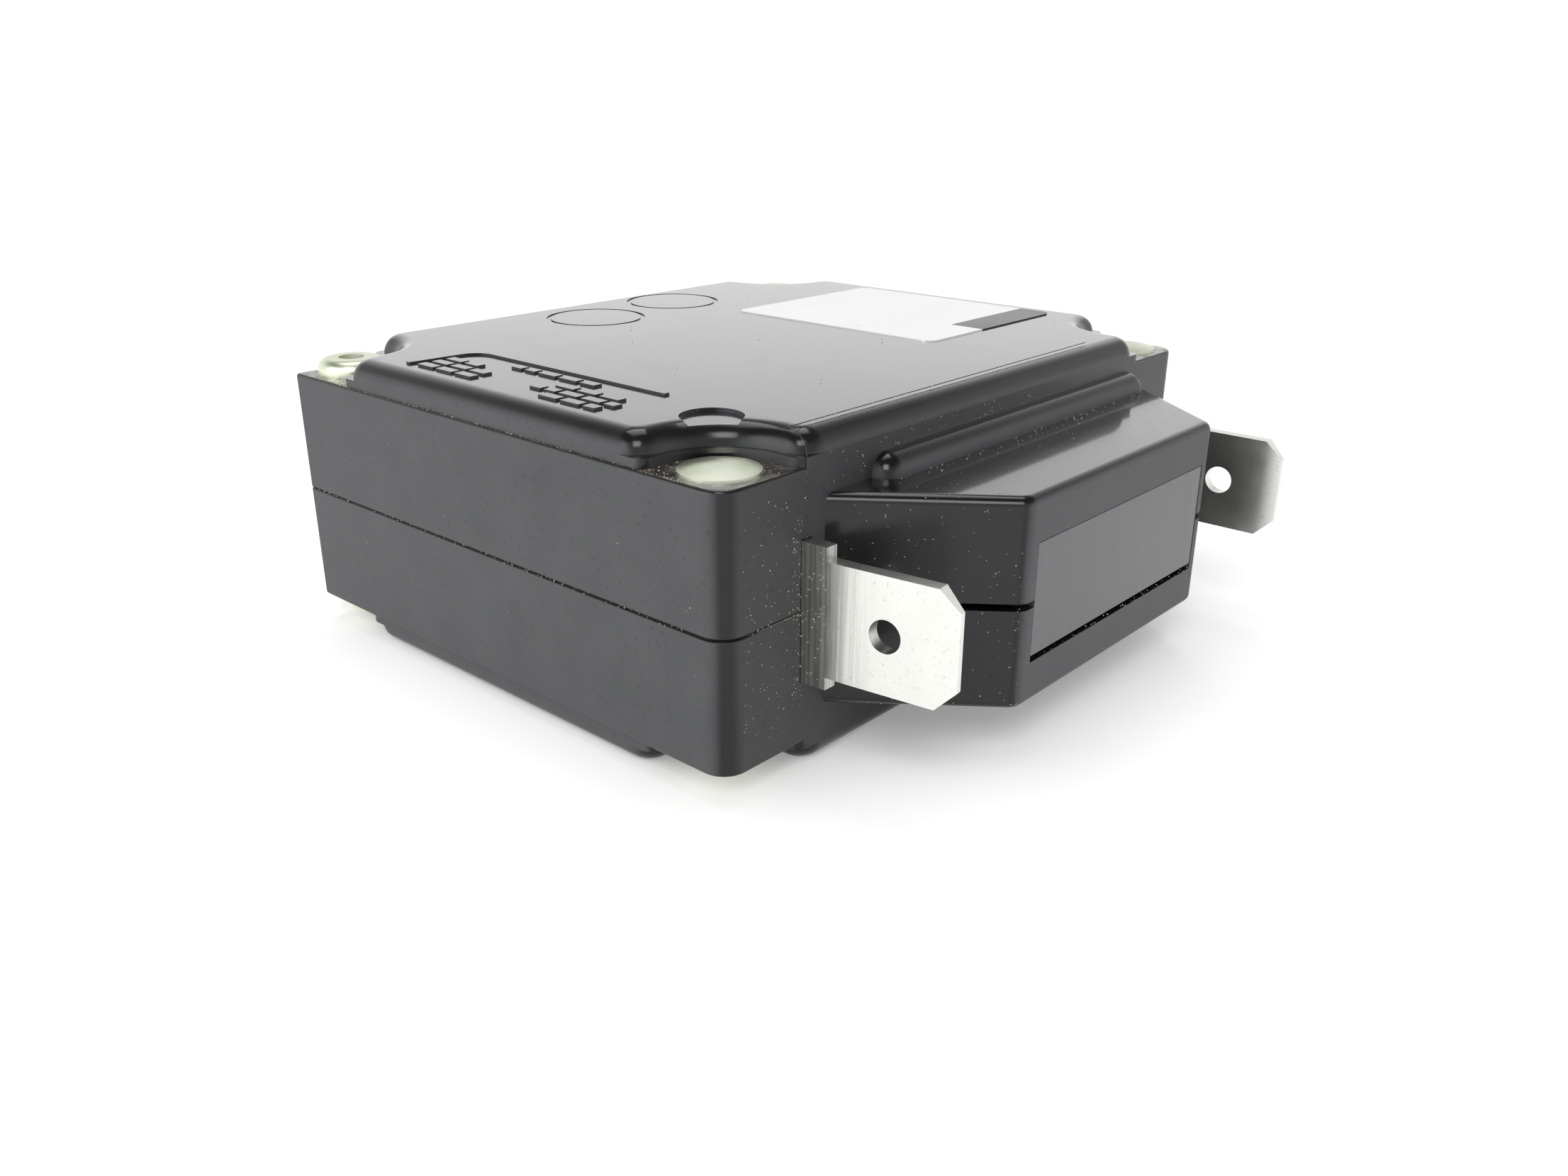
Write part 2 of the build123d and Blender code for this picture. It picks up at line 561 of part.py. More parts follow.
# ---- Handle, links and contact arm ------------------------------------------------------------
def handle_shape():
    """The handle at mid stroke: barrel, lever and two cheeks that hold the crank pin."""
    barrel = Pos(HX, HY) * Circle(BARREL_R)
    front = Pos(HX, HY - BARREL_R) * Rectangle(2 * BARREL_R, 2 * BARREL_R)
    shell = (barrel & front) - Pos(HX, HY) * Circle(BARREL_R - BARREL_WALL)
    tip_y = HY - LEVER_LENGTH
    lever = make_face(Polyline(
        (HX - LEVER_ROOT_X, HY - LEVER_ROOT_Y), (HX + LEVER_ROOT_X, HY - LEVER_ROOT_Y),
        (HX + LEVER_TIP_X, tip_y), (HX - LEVER_TIP_X, tip_y), close=True))
    lever = fillet(lever.vertices().sort_by(Axis.Y)[:2], LEVER_TIP_R)
    solid = plate(shell, -CHEEK_OUTER_Z, CHEEK_OUTER_Z) + plate(lever, -LEVER_Z, LEVER_Z)
    cheek = (barrel & front) + capsule((HX, HY), CRANK_MID, CRANK_EYE_R)
    for sz in (-1, 1):
        low, high = sorted((sz * CHEEK_INNER_Z, sz * CHEEK_OUTER_Z))
        solid += plate(cheek, low, high)
    solid -= rod(PIN_R + RUNNING, (HX, HY, -5), (HX, HY, 5))
    solid -= rod(CRANK_PIN_R, (*CRANK_MID, -5), (*CRANK_MID, 5))
    return solid


def link_shape():
    """The pair of links at mid stroke."""
    link_pin = (LINK_X, PY)
    links = []
    for sz in (-1, 1):
        low, high = sorted((sz * LINK_INNER_Z, sz * LINK_OUTER_Z))
        link = plate(capsule(CRANK_MID, link_pin, LINK_HALF_WIDTH), low, high)
        link -= rod(CRANK_PIN_R + RUNNING, (*CRANK_MID, -5), (*CRANK_MID, 5))
        link -= rod(LINK_PIN_R + OPEN_PIVOT, (*link_pin, -5), (*link_pin, 5))
        links.append(link)
    return links


def arm_shape():
    """The contact arm in its switched-on pose: hub, bar and contact pad."""
    link_pin = turned_point((LINK_X, PY), ARM_PIVOT, -ARM_SWING / 2)
    pad_y = CONTACT_FACE_Y - CONTACT_GAP - CONTACT_T
    outline = Pos(PX, PY) * Circle(2.2)
    outline += capsule((PX, PY), link_pin, 1.4)
    outline += capsule(link_pin, (CONTACT_X + 1.2, pad_y - 0.8), 0.8)
    outline += capsule((CONTACT_X - 1.0, pad_y - 0.8), (CONTACT_X + 1.2, pad_y - 0.8), 0.8)
    arm = plate(outline, -ARM_Z, ARM_Z)
    arm += block((CONTACT_X - 1.8, pad_y - 1.2, -CONTACT_R), (CONTACT_X + 1.8, pad_y, CONTACT_R))
    arm -= rod(ARM_PIN_R + RUNNING, (PX, PY, -5), (PX, PY, 5))
    arm -= rod(LINK_PIN_R, (*link_pin, -5), (*link_pin, 5))
    return arm


def mechanism_nodes():
    """Handle, pins, links, arm and contacts, each turned back to the switched-off pose."""
    to_off = HANDLE_SWING / 2
    save("toggle_handle", turned(handle_shape(), HANDLE_PIVOT, to_off))
    crank_pin = rod(CRANK_PIN_R, (*CRANK_MID, -CHEEK_OUTER_Z), (*CRANK_MID, CHEEK_OUTER_Z))
    save("crank_pin", turned(crank_pin, HANDLE_PIVOT, to_off))
    save("handle_pin", rod(PIN_R, (HX, HY, -HANDLE_PIN_Z), (HX, HY, HANDLE_PIN_Z)))
    crank_off = turned_point(CRANK_MID, HANDLE_PIVOT, to_off)
    shift = (crank_off[0] - CRANK_MID[0], crank_off[1] - CRANK_MID[1])
    save("toggle_links", [Pos(*shift) * link for link in link_shape()])
    pad_y = CONTACT_FACE_Y - CONTACT_GAP - CONTACT_T
    save("contact_arm", turned(arm_shape(), ARM_PIVOT, ARM_SWING))
    tip = rod(CONTACT_R, (CONTACT_X, pad_y, 0), (CONTACT_X, pad_y + CONTACT_T, 0))
    save("moving_contact", turned(tip, ARM_PIVOT, ARM_SWING))
    link_pin = turned_point((LINK_X, PY), ARM_PIVOT, ARM_SWING / 2)
    save("link_pin", rod(LINK_PIN_R, (*link_pin, -LINK_OUTER_Z), (*link_pin, LINK_OUTER_Z)))
    save("arm_pin", rod(ARM_PIN_R, (PX, PY, -EAR_OUTER_Z), (PX, PY, EAR_OUTER_Z)))
    save("handle_spring", coil_spring(1.65, 0.2, 0.5, 3, (HX, HY, -0.75), (0, 0, 1)))
    seat_y = YOKE_FRONT_Y - 0.3
    save("contact_spring", coil_spring(1.0, 0.16, 0.85, 4, (-6.2, seat_y, 0), (0, -1, 0)))


# ---- Magnet -----------------------------------------------------------------------------------
def yoke():
    """The L-shaped iron frame with two ears that carry the arm, armature and trip lever."""
    front_high_y = YOKE_FRONT_Y + YOKE_T
    solid = block((YOKE_LOW_X, YOKE_FRONT_Y, -YOKE_Z), (10.2, front_high_y, YOKE_Z))
    solid += block((YOKE_LOW_X, YOKE_FRONT_Y, -YOKE_Z), (YOKE_LOW_X + YOKE_T, COIL_Y + 6.2, YOKE_Z))
    solid -= rod(TUBE_R, (YOKE_LOW_X - 1, COIL_Y, 0), (YOKE_LOW_X + 2, COIL_Y, 0))
    ear = make_face(Polyline(*EAR_OUTLINE, close=True))
    for sz in (-1, 1):
        low, high = sorted((sz * EAR_INNER_Z, sz * EAR_OUTER_Z))
        solid += plate(ear, low, high)
    solid -= rod(ARM_PIN_R, (PX, PY, -6), (PX, PY, 6))
    solid -= rod(SMALL_PIN_R, (*ARMATURE_PIVOT, -6), (*ARMATURE_PIVOT, 6))
    solid -= rod(SMALL_PIN_R, (*LEVER_PIVOT, -6), (*LEVER_PIVOT, 6))
    return solid


def winding():
    """The coil's turns, drawn as ridged layers between the bobbin's flanges."""
    low, high = COIL_LOW_X + FLANGE_T, COIL_HIGH_X - FLANGE_T
    count = int((high - low) / (2 * WIRE_R))
    pitch = (high - low) / count
    solid = rod(WINDING_ROOT_R, (low, COIL_Y, 0), (high, COIL_Y, 0))
    for i in range(count):
        x = low + pitch * (i + 0.5)
        solid += rod(WINDING_R, (x - pitch * 0.42, COIL_Y, 0), (x + pitch * 0.42, COIL_Y, 0))
    return solid - rod(BOBBIN_R, (low - 1, COIL_Y, 0), (high + 1, COIL_Y, 0))


def magnet_nodes():
    """Yoke, bobbin, winding, delay tube with its plunger, and the leads."""
    save("magnet_frame", yoke())
    bobbin = rod(BOBBIN_R, (COIL_LOW_X, COIL_Y, 0), (COIL_HIGH_X, COIL_Y, 0))
    for x in (COIL_LOW_X, COIL_HIGH_X - FLANGE_T):
        bobbin += rod(FLANGE_R, (x, COIL_Y, 0), (x + FLANGE_T, COIL_Y, 0))
    save("coil_bobbin", bobbin - rod(BOBBIN_BORE_R, (-20, COIL_Y, 0), (20, COIL_Y, 0)))
    save("coil_winding", winding())
    tube = rod(TUBE_R, (TUBE_LOW_X, COIL_Y, 0), (COIL_HIGH_X, COIL_Y, 0))
    bore_r = TUBE_R - TUBE_WALL
    tube -= rod(bore_r, (TUBE_LOW_X + TUBE_WALL, COIL_Y, 0), (COIL_HIGH_X + 1, COIL_Y, 0))
    save("delay_tube", tube)
    pole = rod(POLE_R, (COIL_HIGH_X, COIL_Y, 0), (COIL_HIGH_X + POLE_T, COIL_Y, 0))
    pole += rod(bore_r, (COIL_HIGH_X - 1.5, COIL_Y, 0), (COIL_HIGH_X + 0.1, COIL_Y, 0))
    save("pole_piece", pole)
    start_x = TUBE_LOW_X + TUBE_WALL + 0.05
    end_x = start_x + PLUNGER_LENGTH
    save("plunger_core", rod(PLUNGER_R, (start_x, COIL_Y, 0), (end_x, COIL_Y, 0)))
    gap = COIL_HIGH_X - 1.5 - end_x
    save("plunger_spring", coil_spring(1.3, 0.18, (gap - 0.7) / 8, 8, (end_x + 0.3, COIL_Y, 0), (1, 0, 0)))
    save("coil_lead", wire(LEAD_ROUTE, LEAD_BEND, WIRE_R))
    save("flexible_braid", wire(BRAID_ROUTE, BRAID_BEND, BRAID_R))


# ---- Armature and trip lever --------------------------------------------------------------------
def trip_nodes():
    """The armature that the coil pulls, its spring and pin, and the lever that it pushes."""
    qx, qy = ARMATURE_PIVOT
    outline = Pos(qx, qy) * Circle(1.3)
    outline += Pos(qx - 0.9, qy + 5.8) * Rectangle(1.2, 11.6)
    armature = plate(outline, -ARMATURE_Z, ARMATURE_Z)
    armature += block((qx - 0.5, qy - 5.3, -1.0), (qx + 0.5, qy, 1.0))
    armature -= rod(SMALL_PIN_R + RUNNING, (qx, qy, -5), (qx, qy, 5))
    save("armature", turned(armature, ARMATURE_PIVOT, -ARMATURE_SWING))
    save("armature_pin", rod(SMALL_PIN_R, (qx, qy, -EAR_OUTER_Z), (qx, qy, EAR_OUTER_Z)))
    save("armature_spring", coil_spring(1.0, 0.14, 0.4, 3, (qx + 2.6, qy + 1.6, -0.6), (0, 0, 1)))
    sx, sy = LEVER_PIVOT
    lever = Pos(sx, sy) * Circle(1.5)
    lever += make_face(Polyline(
        (sx - 1.4, sy), (sx + 1.4, sy), (sx - 0.7, sy + 3.7), (sx - 1.7, sy + 3.7), close=True))
    lever += capsule((sx, sy), (sx - 4.4, sy - 0.5), 0.6)
    solid = plate(lever, -0.9, 0.9) - rod(SMALL_PIN_R + RUNNING, (sx, sy, -5), (sx, sy, 5))
    save("trip_lever", solid)
    save("lever_pin", rod(SMALL_PIN_R, (sx, sy, -EAR_OUTER_Z), (sx, sy, EAR_OUTER_Z)))


# ---- Arc chute ------------------------------------------------------------------------------------
def chute_nodes():
    """Steel plates with a V notch for the contact arm's tip, between two fibre sheets."""
    plates = []
    for i in range(CHUTE_COUNT):
        y = CHUTE_FIRST_Y + i * CHUTE_PITCH
        sheet = block((CHUTE_LOW_X, y, -CHUTE_Z), (CHUTE_HIGH_X, y + CHUTE_PLATE_T, CHUTE_Z))
        notch = Polyline((0.1, NOTCH_MOUTH), (-NOTCH_DEEP, 0.7), (-NOTCH_DEEP, -0.7), (0.1, -NOTCH_MOUTH), close=True)
        notch = make_face(Plane.XZ * Pos(CHUTE_HIGH_X, 0) * notch)
        sheet -= extrude(notch, amount=CASE_Y, both=True)
        plates.append(sheet)
    save("arc_chute_plates", plates)
    high_y = CHUTE_FIRST_Y + (CHUTE_COUNT - 1) * CHUTE_PITCH + CHUTE_PLATE_T + 0.6
    sides = []
    for sz in (-1, 1):
        low, high = sorted((sz * CHUTE_Z, sz * (CHUTE_Z + SHEET_T)))
        sides.append(block((CHUTE_LOW_X, CHUTE_FIRST_Y - 0.6, low), (CHUTE_HIGH_X, high_y, high)))
    save("arc_chute_sides", sides)


case_nodes()
terminal_nodes()
mechanism_nodes()
magnet_nodes()
trip_nodes()
chute_nodes()
print("handle swing", HANDLE_SWING, "arm swing", round(ARM_SWING, 4), "ratio", round(ARM_SWING / HANDLE_SWING, 5))
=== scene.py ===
# %% [markdown]
# # A flat toggle circuit breaker, lying on its side
#
# The construction comes as a imported model: 36 named parts on seven bodies, six of which move.
# Blender adds what a hand and an eye notice: the finish of the black moulding, the tinned blades,
# plated rivets, dust in the corners, the real turns of the coil. We start by loading that
# frame.

# %% Load the frame
import json
import math

import bmesh
import bpy
from mathutils import Matrix, Vector

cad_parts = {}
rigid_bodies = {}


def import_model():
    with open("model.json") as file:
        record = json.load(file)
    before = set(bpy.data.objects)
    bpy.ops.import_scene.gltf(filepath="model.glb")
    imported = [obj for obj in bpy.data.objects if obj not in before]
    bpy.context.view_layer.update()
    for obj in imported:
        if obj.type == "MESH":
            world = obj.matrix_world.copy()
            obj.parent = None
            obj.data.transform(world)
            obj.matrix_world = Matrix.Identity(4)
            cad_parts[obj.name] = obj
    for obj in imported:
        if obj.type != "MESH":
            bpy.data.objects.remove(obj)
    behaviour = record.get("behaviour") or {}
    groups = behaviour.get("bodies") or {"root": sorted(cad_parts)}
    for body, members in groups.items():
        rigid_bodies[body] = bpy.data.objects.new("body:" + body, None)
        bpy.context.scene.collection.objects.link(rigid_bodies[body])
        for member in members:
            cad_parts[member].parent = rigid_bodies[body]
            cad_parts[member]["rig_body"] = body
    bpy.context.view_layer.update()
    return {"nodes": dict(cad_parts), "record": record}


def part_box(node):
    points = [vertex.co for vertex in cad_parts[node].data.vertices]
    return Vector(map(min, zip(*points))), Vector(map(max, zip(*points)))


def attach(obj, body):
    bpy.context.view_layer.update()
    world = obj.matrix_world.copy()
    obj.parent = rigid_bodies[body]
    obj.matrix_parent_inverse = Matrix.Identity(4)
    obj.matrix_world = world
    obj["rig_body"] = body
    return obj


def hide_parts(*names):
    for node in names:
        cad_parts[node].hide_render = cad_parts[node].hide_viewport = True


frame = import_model()
nodes = frame["nodes"]
MM = 0.001
print("nodes:", len(nodes))

# %% [markdown]
# ## Measuring from the frame
#
# Some sizes that the finish needs are read from the solids, and the others are given as constants.
# The two shells meet at z = 0, the panel face is y = 0, and the blades stand out of the rear.

# %% Places on the case
case_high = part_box("upper_case_half")[1]
FLOOR_GAP = 0.01 * MM
floor_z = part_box("lower_case_half")[0].z - FLOOR_GAP
end_wall_x = case_high.x
block_rear_y = case_high.y
REAR_WALL_Y = 38.15 * MM
BLOCK_TOP_Z = 5.93 * MM
LAND_Z = 7.6 * MM
FIELD_Z = case_high.z
SEAM_HALF = 0.08 * MM
print("case half length", round(end_wall_x / MM, 2), "mm, field at", round(FIELD_Z / MM, 2), "mm")

# %% [markdown]
# ## Small helpers for node trees
#
# A node tree is a list of nodes and the wires between them. Writing one in Python gets long, so
# `add` makes one node in a line: settings by keyword, and inputs in a dictionary, where a value is
# typed in and a socket is wired in.

# %% Node helpers
def add(tree, kind, inputs=None, **settings):
    """Adds one node, sets it up, and hands it back."""
    made = tree.nodes.new(kind)
    for name, value in settings.items():
        setattr(made, name, value)
    for name, value in (inputs or {}).items():
        if isinstance(value, bpy.types.NodeSocket):
            tree.links.new(value, made.inputs[name])
        else:
            made.inputs[name].default_value = value
    return made


def new_material(name, **shader_inputs):
    """A material with one Principled shader. Returns it with its tree, shader and coordinates."""
    material = bpy.data.materials.new(name)
    material.use_nodes = True
    tree = material.node_tree
    tree.nodes.clear()
    readable = {key.replace("_", " "): value for key, value in shader_inputs.items()}
    shader = add(tree, "ShaderNodeBsdfPrincipled", readable)
    add(tree, "ShaderNodeOutputMaterial", {"Surface": shader.outputs["BSDF"]})
    coordinates = add(tree, "ShaderNodeTexCoord")
    return material, tree, shader, coordinates


def math_node(tree, operation, first, second=0.0):
    """One sum, product or other operation on numbers."""
    return add(tree, "ShaderNodeMath", {0: first, 1: second}, operation=operation).outputs[0]


def between(tree, value, low, high, to_low=0.0, to_high=1.0):
    """Turns the stretch low..high of a value smoothly into to_low..to_high."""
    inputs = {"Value": value, 1: low, 2: high, 3: to_low, 4: to_high}
    return add(tree, "ShaderNodeMapRange", inputs, interpolation_type="SMOOTHSTEP").outputs[0]


def mix_colour(tree, factor, first, second):
    """A blend of two colours."""
    made = add(tree, "ShaderNodeMix", {0: factor}, data_type="RGBA")
    for socket, colour in ((made.inputs[6], first), (made.inputs[7], second)):
        if isinstance(colour, bpy.types.NodeSocket):
            tree.links.new(colour, socket)
        else:
            socket.default_value = (*colour, 1.0)
    return made.outputs[2]


def noise(tree, coordinates, per_mm, detail=2.0, stretch=None):
    """Cloudy noise with about per_mm features to a millimetre, drawn out where stretch is under 1."""
    vector = coordinates.outputs["Object"]
    if stretch:
        vector = add(tree, "ShaderNodeMapping", {"Vector": vector, "Scale": stretch}).outputs[0]
    inputs = {"Vector": vector, "Scale": per_mm / MM, "Detail": detail}
    return add(tree, "ShaderNodeTexNoise", inputs).outputs["Fac"]


def bump(tree, shader, height, strength, depth_mm):
    """Presses a height pattern into the surface, on top of any bump that is there already."""
    inputs = {"Height": height, "Strength": strength, "Distance": depth_mm * MM}
    made = add(tree, "ShaderNodeBump", inputs)
    if shader.inputs["Normal"].is_linked:
        tree.links.new(shader.inputs["Normal"].links[0].from_socket, made.inputs["Normal"])
    tree.links.new(made.outputs["Normal"], shader.inputs["Normal"])


# %% [markdown]
# ## Camera
#
# The camera stands low, off the rear corner on the load side, and looks slightly down, close
# enough for the near corner to loom. A short lens does that. The three directions below are
# worked out from an azimuth, an elevation and a very small roll.

# %% Camera
AZIMUTH, ELEVATION, ROLL = (math.radians(a) for a in (131.588, 21.880, 0.238))
CAMERA_PLACE = Vector((62.791, 77.282, 25.421)) * MM
LENS_MM, SENSOR_MM = 29.305, 36.0

back = Vector((
    math.sin(AZIMUTH) * math.cos(ELEVATION),
    -math.cos(AZIMUTH) * math.cos(ELEVATION),
    math.sin(ELEVATION),
))
level = (-back).cross(Vector((0, 0, 1))).normalized()
upright = level.cross(-back)
side = math.cos(ROLL) * level + math.sin(ROLL) * upright
top = -math.sin(ROLL) * level + math.cos(ROLL) * upright

camera_data = bpy.data.cameras.new("studio_camera")
camera_data.lens = LENS_MM
camera_data.sensor_width = SENSOR_MM
camera_data.clip_start = 1 * MM
camera = bpy.data.objects.new("studio_camera", camera_data)
facing_part = Matrix((side, top, back)).transposed().to_4x4()
camera.matrix_world = Matrix.Translation(CAMERA_PLACE) @ facing_part
bpy.context.scene.collection.objects.link(camera)
bpy.context.scene.camera = camera
bpy.context.scene.view_settings.view_transform = "Standard"
print("camera", [round(c / MM, 1) for c in camera.matrix_world.translation], "mm")

# %% [markdown]
# ## The light around it
#
# Black plastic shows little but reflections, so the surroundings matter more than the lamps. The
# backdrop is plain white for the camera, and white near the horizon for a reflection, where the
# sheet curves up behind the part. Overhead the room is dim, so roundings that look up stay black.
# Matt surfaces get an even, softer fill. Light Path tells these rays apart.

# %% World
WORLD_FILL = 0.62
ROOM_ABOVE = 0.12
ROOM_DARKENS = (0.32, 0.84)   # between these heights of a ray, from white to the dim room

world = bpy.data.worlds.new("studio_world")
world.use_nodes = True
bpy.context.scene.world = world
sky = world.node_tree
sky.nodes.clear()
rays = add(sky, "ShaderNodeLightPath")
direction = add(sky, "ShaderNodeTexCoord").outputs["Generated"]
height = add(sky, "ShaderNodeSeparateXYZ", {0: direction}).outputs["Z"]
sweep = between(sky, height, *ROOM_DARKENS, 1.0, ROOM_ABOVE)
mirrored = math_node(sky, "MAXIMUM", rays.outputs["Is Glossy Ray"], rays.outputs["Is Transmission Ray"])
strength = add(sky, "ShaderNodeMix", {0: mirrored, 2: WORLD_FILL, 3: sweep}).outputs[0]
strength = math_node(sky, "MAXIMUM", strength, rays.outputs["Is Camera Ray"])
background = add(sky, "ShaderNodeBackground", {"Color": (1, 1, 1, 1), "Strength": strength})
add(sky, "ShaderNodeOutputWorld", {"Surface": background.outputs[0]})
print("world fill", WORLD_FILL)

# %% [markdown]
# ## Lamps
#
# One broad soft box hangs above, one fills the long end wall from the side, and a compact one
# stands in front, higher than the camera, and puts the bright spots on the rounded bumps. An area
# lamp's power is for its whole face, so a model this small takes well under a watt.

# %% Lamps
def soft_box(name, place_mm, aim_mm, width_mm, watts):
    """A square lamp at a place, facing a point."""
    data = bpy.data.lights.new(name, "AREA")
    data.shape = "SQUARE"
    data.size = width_mm * MM
    data.energy = watts
    lamp = bpy.data.objects.new(name, data)
    lamp.location = Vector(place_mm) * MM
    lamp.rotation_euler = (Vector(aim_mm) - Vector(place_mm)).to_track_quat("-Z", "Y").to_euler()
    bpy.context.scene.collection.objects.link(lamp)
    return lamp


MIDDLE_MM = (0, 20, 0)
soft_box("overhead", (-40, -60, 380), MIDDLE_MM, 260, 0.42)
soft_box("side_fill", (330, -60, 150), MIDDLE_MM, 220, 0.26)
soft_box("front", (196, 172, 215), MIDDLE_MM, 130, 0.36)

# %% [markdown]
# ## Floor
#
# A wide pale sheet, a hair's breadth under the part. It has a plain diffuse finish, so it takes the
# contact shadow. Seen by the camera or in a reflection it also glows slightly, and more so far
# out, where the lamps don't reach. That lifts it to white away from the shadow without throwing
# more light on the part.

# %% Floor
FLOOR_HALF = 900 * MM
FLOOR_GLOW, FAR_GLOW = 0.24, 0.75
GLOW_GROWS = (110 * MM, 420 * MM)
SHEET_WHITE = 0.86

floor_mesh = bpy.data.meshes.new("floor")
corners = [(-1, -1), (1, -1), (1, 1), (-1, 1)]
corners = [(x * FLOOR_HALF, y * FLOOR_HALF, floor_z) for x, y in corners]
floor_mesh.from_pydata(corners, [], [(0, 1, 2, 3)])
floor = bpy.data.objects.new("floor", floor_mesh)
bpy.context.scene.collection.objects.link(floor)

floor_paint = bpy.data.materials.new("pale_sheet")
floor_paint.use_nodes = True
sheet = floor_paint.node_tree
sheet.nodes.clear()
rays = add(sheet, "ShaderNodeLightPath")
seen = math_node(sheet, "MAXIMUM", rays.outputs["Is Camera Ray"], rays.outputs["Is Glossy Ray"])
spot = add(sheet, "ShaderNodeTexCoord")
far_out = add(sheet, "ShaderNodeVectorMath", {0: spot.outputs["Object"]}, operation="LENGTH")
lift = between(sheet, far_out.outputs["Value"], *GLOW_GROWS, FLOOR_GLOW, FAR_GLOW)
glow = add(sheet, "ShaderNodeEmission", {"Strength": math_node(sheet, "MULTIPLY", seen, lift)})
matt = add(sheet, "ShaderNodeBsdfDiffuse", {"Color": (SHEET_WHITE,) * 3 + (1,)})
both = add(sheet, "ShaderNodeAddShader", {0: matt.outputs[0], 1: glow.outputs[0]})
add(sheet, "ShaderNodeOutputMaterial", {"Surface": both.outputs[0]})
floor.data.materials.append(floor_paint)
print("floor at", round(floor_z / MM, 2), "mm")

# %% [markdown]
# ## The black moulding
#
# The shells are a thermoset moulding. Its upright walls came off the tool satin, almost slate
# grey, with a fine grain; the raised field, its rounded rim and the sloping sides of the block are
# polished and show the room. One material does both: the surface normal says which way a place
# faces, and that picks the roughness, the depth of black and the amount of clear gloss.

# %% Moulding
REAR_WALL_SATIN = 0.87   # the rear wall is a little glossier than the end walls


def black_moulding():
    """Satin on upright walls, polished on the top, on roundings and on slopes."""
    material, tree, shader, at = new_material("case_black", Coat_Roughness=0.06, Specular_IOR_Level=0.38)
    facing = add(tree, "ShaderNodeSeparateXYZ", {0: at.outputs["Normal"]})
    across = math_node(tree, "ABSOLUTE", facing.outputs["X"])
    along = math_node(tree, "ABSOLUTE", facing.outputs["Y"])
    place = add(tree, "ShaderNodeSeparateXYZ", {0: at.outputs["Object"]})
    from_seam = math_node(tree, "ABSOLUTE", place.outputs["Z"])
    wall_y, block_y = REAR_WALL_Y + 0.3 * MM, REAR_WALL_Y + 1.0 * MM
    wall_satin = between(tree, place.outputs["Y"], wall_y, block_y, REAR_WALL_SATIN, 1.0)
    along = math_node(tree, "MULTIPLY", along, wall_satin)
    satin = between(tree, math_node(tree, "MAXIMUM", across, along), 0.74, 0.99)
    flat = between(tree, math_node(tree, "ABSOLUTE", facing.outputs["Z"]), 0.75, 0.98)
    seam = between(tree, from_seam, SEAM_HALF, SEAM_HALF * 1.7, 1.0, 0.0)
    cloud = noise(tree, at, 0.30, 3.0)
    grain = noise(tree, at, 7.0, 2.0)
    fleck = between(tree, noise(tree, at, 3.0, 2.0), 0.62, 0.72)
    slate = mix_colour(tree, cloud, (0.052, 0.053, 0.056), (0.086, 0.087, 0.090))
    slate = mix_colour(tree, math_node(tree, "MULTIPLY", fleck, 0.45), slate, (0.030, 0.030, 0.034))
    jet = mix_colour(tree, cloud, (0.004, 0.004, 0.005), (0.010, 0.010, 0.011))
    black = mix_colour(tree, satin, jet, slate)
    black = mix_colour(tree, seam, black, (0.004, 0.004, 0.004))
    below_step = between(tree, from_seam, LAND_Z + 0.1 * MM, LAND_Z + 0.5 * MM, 1.0, 0.0)
    above_block = between(tree, from_seam, LAND_Z - 0.5 * MM, LAND_Z - 0.1 * MM)
    land = math_node(tree, "MULTIPLY", math_node(tree, "MULTIPLY", flat, below_step), above_block)
    patchy = between(tree, noise(tree, at, 1.6, 4.0), 0.40, 0.75, 0.05, 0.6)
    powder = math_node(tree, "MULTIPLY", land, patchy)
    black = mix_colour(tree, powder, black, (0.20, 0.175, 0.13))
    tree.links.new(black, shader.inputs["Base Color"])
    rough = between(tree, satin, 0.0, 1.0, 0.15, 0.46)
    rough = math_node(tree, "ADD", rough, math_node(tree, "MULTIPLY", cloud, 0.08))
    rough = math_node(tree, "ADD", rough, math_node(tree, "MULTIPLY", powder, 0.6))
    tree.links.new(rough, shader.inputs["Roughness"])
    clear = math_node(tree, "MULTIPLY", flat, math_node(tree, "SUBTRACT", 1.0, powder))
    tree.links.new(clear, shader.inputs["Coat Weight"])
    bump(tree, shader, noise(tree, at, 0.55, 1.0), 0.35, 0.012)
    bump(tree, shader, grain, between(tree, satin, 0.0, 1.0, 0.06, 0.5), 0.012)
    return material


def blanking_black():
    """The plain plate in the rear window: a thin satin sheet with soft upright streaks."""
    material, tree, shader, at = new_material("plate_black", Coat_Weight=0.25, Coat_Roughness=0.2)
    streak = noise(tree, at, 0.45, 2.0, (1, 1, 0.16))
    tint = mix_colour(tree, streak, (0.034, 0.035, 0.038), (0.135, 0.137, 0.142))
    tree.links.new(tint, shader.inputs["Base Color"])
    tree.links.new(between(tree, streak, 0.3, 0.7, 0.24, 0.4), shader.inputs["Roughness"])
    bump(tree, shader, streak, 0.4, 0.03)
    bump(tree, shader, noise(tree, at, 6.0), 0.25, 0.006)
    return material


def handle_black():
    """The toggle: a smoother, deeper black, rubbed a little by fingers."""
    material, tree, shader, at = new_material("handle_black", Coat_Weight=0.3, Coat_Roughness=0.15)
    rubbed = noise(tree, at, 0.5, 3.0)
    tint = mix_colour(tree, rubbed, (0.012, 0.012, 0.013), (0.03, 0.03, 0.031))
    tree.links.new(tint, shader.inputs["Base Color"])
    tree.links.new(between(tree, rubbed, 0.3, 0.7, 0.26, 0.42), shader.inputs["Roughness"])
    bump(tree, shader, noise(tree, at, 5.0), 0.2, 0.006)
    return material


